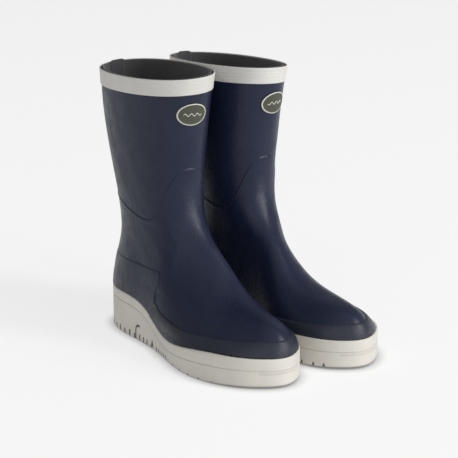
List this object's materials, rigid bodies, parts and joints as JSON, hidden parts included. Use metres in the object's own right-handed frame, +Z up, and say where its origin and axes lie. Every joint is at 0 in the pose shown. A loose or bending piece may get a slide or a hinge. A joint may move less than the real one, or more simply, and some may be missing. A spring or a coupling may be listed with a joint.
{
  "type": "pair of deck boots",
  "caption": "Pair of mid-calf rubber deck boots: dark uppers with a separate leg panel and heel and toe overlays, pale cross-cut soles and rim bands, textile lining and lift-out footbeds.",
  "frame": {"origin": "on the floor, under the middle of the box round the standing pair", "axes": "+Z up, toes towards -Y, the wearer's left boot at +X"},
  "size_m": [0.206, 0.302, 0.2781],
  "materials": {
    "navy_rubber": "satin rubber, very faint hammered grain",
    "white_rubber": "matt satin, warm off-white",
    "band_rubber": "matt satin, fine moulded ribs",
    "midsole_sponge": "matt sponge rubber",
    "fibre_board": "matt leatherboard",
    "footbed": "matt textile top",
    "lining_textile": "matt knit",
    "stiffener_sheet": "matt sheet",
    "webbing": "ribbed webbing",
    "badge_rubber": "satin with a pale rim"
  },
  "bodies": {
    "right_boot": {"right_outsole": "white_rubber", "right_sole_strip": "white_rubber", "right_midsole": "midsole_sponge", "right_insole_board": "fibre_board", "right_lining": "lining_textile", "right_heel_stiffener": "stiffener_sheet", "right_toe_puff": "stiffener_sheet", "right_vamp": "navy_rubber", "right_leg_panel": "navy_rubber", "right_heel_counter": "navy_rubber", "right_toe_wrap": "navy_rubber", "right_top_band": "band_rubber", "right_back_strip": "webbing", "right_badge": "badge_rubber"},
    "left_boot": {"left_outsole": "white_rubber", "left_sole_strip": "white_rubber", "left_midsole": "midsole_sponge", "left_insole_board": "fibre_board", "left_lining": "lining_textile", "left_heel_stiffener": "stiffener_sheet", "left_toe_puff": "stiffener_sheet", "left_vamp": "navy_rubber", "left_leg_panel": "navy_rubber", "left_heel_counter": "navy_rubber", "left_toe_wrap": "navy_rubber", "left_top_band": "band_rubber", "left_back_strip": "webbing", "left_badge": "badge_rubber"},
    "right_footbed": {"right_insole": "footbed"},
    "left_footbed": {"left_insole": "footbed"}
  },
  "joints": [
    {"name": "left_boot_lift", "type": "slide", "parent": "right_boot", "child": "left_boot", "axis": [0, 0, 1], "range_m": [0, 0.35]},
    {"name": "right_footbed_lift", "type": "hinge", "parent": "right_boot", "child": "right_footbed", "pos_m": [-0.05342, -0.13978, 0.0234], "axis": [0.9997, -0.0227, 0], "range_deg": [0, 4]},
    {"name": "left_footbed_lift", "type": "hinge", "parent": "left_boot", "child": "left_footbed", "pos_m": [0.05822, -0.13695, 0.0234], "axis": [0.996, 0.0889, 0], "range_deg": [0, 4]}
  ]
}
